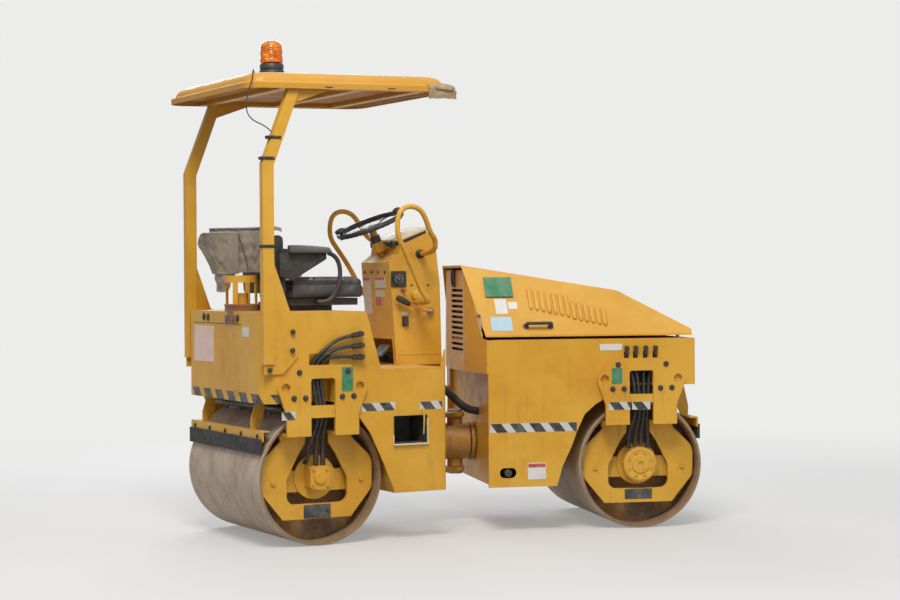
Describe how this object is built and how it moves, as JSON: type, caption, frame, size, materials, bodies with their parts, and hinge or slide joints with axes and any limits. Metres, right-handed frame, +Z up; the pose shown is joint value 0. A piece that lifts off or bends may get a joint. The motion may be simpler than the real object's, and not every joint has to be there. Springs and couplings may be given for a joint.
{
  "type": "road roller",
  "caption": "Tandem vibratory road roller: two smooth steel drums in forks, an articulated frame, an operator's seat and console under a canopy, a tilting hood and a beacon.",
  "frame": {"origin": "ground, middle of the footprint of the machine as it stands", "axes": "+X the way the machine drives with the hood ahead, +Y to its left, +Z up"},
  "size_m": [2.8762, 1.4687, 2.6674],
  "materials": {
    "yellow": "semi-gloss, worn",
    "drum_steel": "worn bare steel and orange paint",
    "black_steel": "matt",
    "bare_steel": "worn",
    "engine": "matt, oily",
    "rubber": "matt",
    "seat_vinyl": "worn vinyl",
    "cloth": "creased",
    "roof_plastic": "moulded, faded",
    "black_plastic": "matt",
    "grey_plastic": "matt",
    "amber": "translucent",
    "chrome_rod": "polished"
  },
  "bodies": {
    "rear_frame": {"rear_body": "yellow", "step_plate": "black_steel", "rear_fork_near": "yellow", "rear_fork_far": "yellow", "rear_hubs": "black_steel", "rear_scraper": "yellow", "rear_scraper_blade": "rubber", "rear_spray_bar": "black_plastic", "canopy_posts": "yellow", "canopy_frame": "black_steel", "canopy_roof": "roof_plastic", "beacon_base": "grey_plastic", "beacon_lens": "amber", "seat_base": "black_steel", "seat_cushion": "seat_vinyl", "seat_back": "seat_vinyl", "arm_rests": "seat_vinyl", "arm_rest_frames": "black_steel", "seat_cover": "cloth", "filler_guard": "black_steel", "console": "yellow", "dash": "black_plastic", "steering_column": "black_plastic", "handrails": "yellow", "drive_lever": "black_plastic", "pedal": "black_steel", "pivot_bracket": "yellow", "pivot_pins": "bare_steel", "rear_hose_clamp": "black_steel", "rear_hoses": "rubber", "rear_hose_fittings": "bare_steel", "corner_rag": "cloth", "beacon_cable": "rubber"},
    "steering_wheel": {"steering_wheel": "black_plastic"},
    "rear_drum": {"rear_drum": "drum_steel"},
    "steering_barrel": {"steering_barrel": "black_steel"},
    "steering_rod": {"steering_rod": "chrome_rod"},
    "centre_link": {"centre_link": "yellow"},
    "front_drum": {"front_drum": "drum_steel"},
    "hood": {"hood": "yellow", "hood_handles": "black_steel"},
    "front_frame": {"pivot_flange": "black_steel", "front_side_near": "yellow", "front_side_far": "yellow", "front_pan": "yellow", "front_rim": "yellow", "engine_block": "engine", "exhaust_pipe": "bare_steel", "front_fork_near": "yellow", "front_fork_far": "yellow", "front_hubs": "black_steel", "front_scraper": "yellow", "front_scraper_blade": "rubber", "front_spray_bar": "black_plastic", "front_hose_clamp": "black_steel", "front_hoses": "rubber", "front_hose_fittings": "bare_steel", "radiator_cowl": "yellow"}
  },
  "joints": [
    {"name": "steer", "type": "hinge", "parent": "rear_frame", "child": "centre_link", "pos_m": [0.059, 0.144, 0.46], "axis": [0, 0, 1], "range_deg": [-13.6, 46.4]},
    {"name": "oscillation", "type": "hinge", "parent": "centre_link", "child": "front_frame", "pos_m": [0.059, 0.144, 0.46], "axis": [0.9593, -0.2823, 0], "range_deg": [-8, 8]},
    {"name": "hood_hinge", "type": "hinge", "parent": "front_frame", "child": "hood", "pos_m": [1.24087, -0.20384, 1.066], "axis": [0.2823, 0.9593, 0], "range_deg": [0, 60]},
    {"name": "front_drum_spin", "type": "hinge", "parent": "front_frame", "child": "front_drum", "pos_m": [0.96267, -0.12197, 0.35], "axis": [0.2823, 0.9593, 0], "continuous": true},
    {"name": "rear_drum_spin", "type": "hinge", "parent": "rear_frame", "child": "rear_drum", "pos_m": [-0.999, 0.144, 0.35], "axis": [0, 1, 0], "continuous": true},
    {"name": "steering_wheel_spin", "type": "hinge", "parent": "rear_frame", "child": "steering_wheel", "pos_m": [-0.464, 0.144, 1.679], "axis": [-0.3746, 0, 0.9272], "continuous": true},
    {"name": "cylinder_swing", "type": "hinge", "parent": "rear_frame", "child": "steering_barrel", "pos_m": [-0.441, 0.334, 0.46], "axis": [0, 0, 1], "range_deg": [-3, 3]},
    {"name": "cylinder_slide", "type": "slide", "parent": "steering_barrel", "child": "steering_rod", "axis": [1, 0.0033, 0], "range_m": [-0.17, 0.05]}
  ],
  "couplings": [
    {"joint": "cylinder_swing", "follows": "steer", "ratio": -0.03},
    {"joint": "cylinder_slide", "follows": "steer", "m_per_rad": -0.19}
  ]
}
